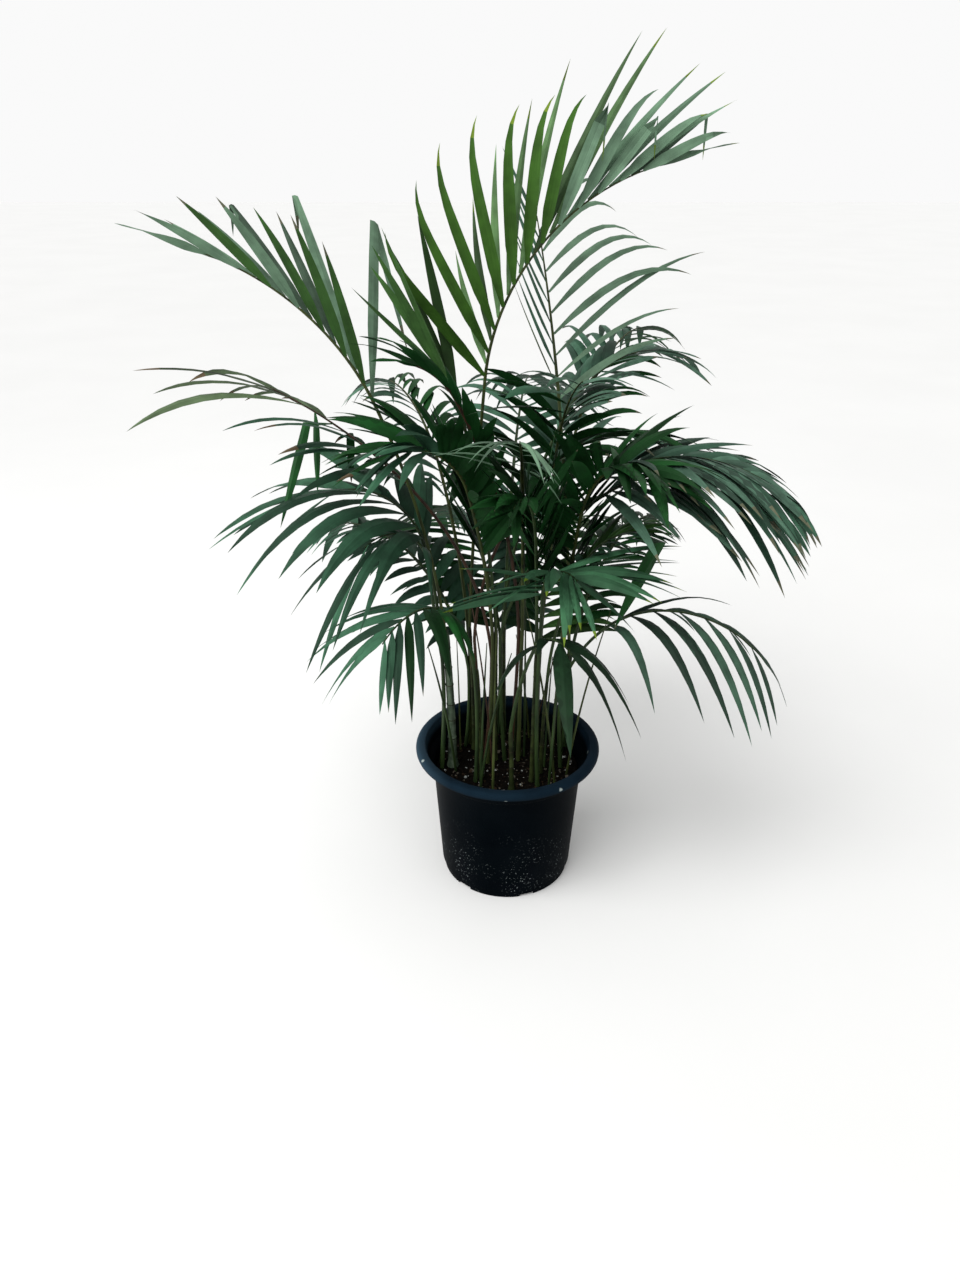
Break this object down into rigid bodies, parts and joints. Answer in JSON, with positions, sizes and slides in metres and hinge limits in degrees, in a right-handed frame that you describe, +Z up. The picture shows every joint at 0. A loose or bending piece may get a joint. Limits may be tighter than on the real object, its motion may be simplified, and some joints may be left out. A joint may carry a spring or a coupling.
{
  "type": "potted areca palm",
  "caption": "Clump-forming areca palm in a round dark plastic nursery pot, with slim canes, long petioles and arching feather fronds.",
  "frame": {"origin": "centre of the pot's flat underside", "axes": "+Z up, +X to the right of the front view, +Y away from the front view"},
  "size_m": [0.9495, 0.8974, 1.2451],
  "materials": {
    "pot_plastic": "moulded, satin",
    "potting_mix": "loose bark and fibre, matt",
    "cane": "smooth, ringed",
    "petiole": "smooth, satin",
    "leaf_bright": "waxy leaf, satin",
    "leaf_fresh": "waxy leaf, satin",
    "leaf_deep": "waxy leaf, satin",
    "leaf_blue": "waxy leaf, satin",
    "leaf_dull": "waxy leaf, satin"
  },
  "bodies": {
    "root": {"pot": "pot_plastic", "soil": "potting_mix", "cane_1": "cane", "cane_2": "cane", "cane_3": "cane", "cane_4": "cane", "cane_5": "cane", "cane_6": "cane", "cane_7": "cane", "cane_8": "cane", "cane_9": "cane", "cane_10": "cane", "cane_11": "cane", "cane_12": "cane", "petiole_crest": "petiole", "frond_crest": "leaf_bright", "petiole_left_arch": "petiole", "frond_left_arch": "leaf_deep", "petiole_back_blue": "petiole", "frond_back_blue": "leaf_blue", "petiole_right_arch": "petiole", "frond_right_arch": "leaf_blue", "petiole_right_broad": "petiole", "frond_right_broad": "leaf_blue", "petiole_left_spear": "petiole", "frond_left_spear": "leaf_bright", "petiole_left_dark": "petiole", "frond_left_dark": "leaf_deep", "petiole_right_fan": "petiole", "frond_right_fan": "leaf_deep", "petiole_right_dark": "petiole", "frond_right_dark": "leaf_deep", "petiole_left_brown": "petiole", "frond_left_brown": "leaf_dull", "petiole_front_high": "petiole", "frond_front_high": "leaf_deep", "frond_low_right": "leaf_blue", "frond_left_fan": "leaf_fresh", "frond_left_low": "leaf_deep", "frond_low_left": "leaf_deep", "frond_front_bright": "leaf_fresh", "frond_front_low": "leaf_deep", "frond_right_mid": "leaf_fresh", "petiole_centre_left": "petiole", "frond_centre_left": "leaf_deep", "frond_centre_front": "leaf_deep", "frond_centre_right": "leaf_deep", "petiole_centre_high": "petiole", "frond_centre_high": "leaf_deep", "petiole_back_left": "petiole", "frond_back_left": "leaf_deep", "petiole_back_mid": "petiole", "frond_back_mid": "leaf_blue", "petiole_back_right": "petiole", "frond_back_right": "leaf_deep", "frond_back_low": "leaf_blue", "frond_right_low": "leaf_deep", "frond_back_right_low": "leaf_fresh", "frond_left_back_low": "leaf_deep"}
  },
  "joints": []
}
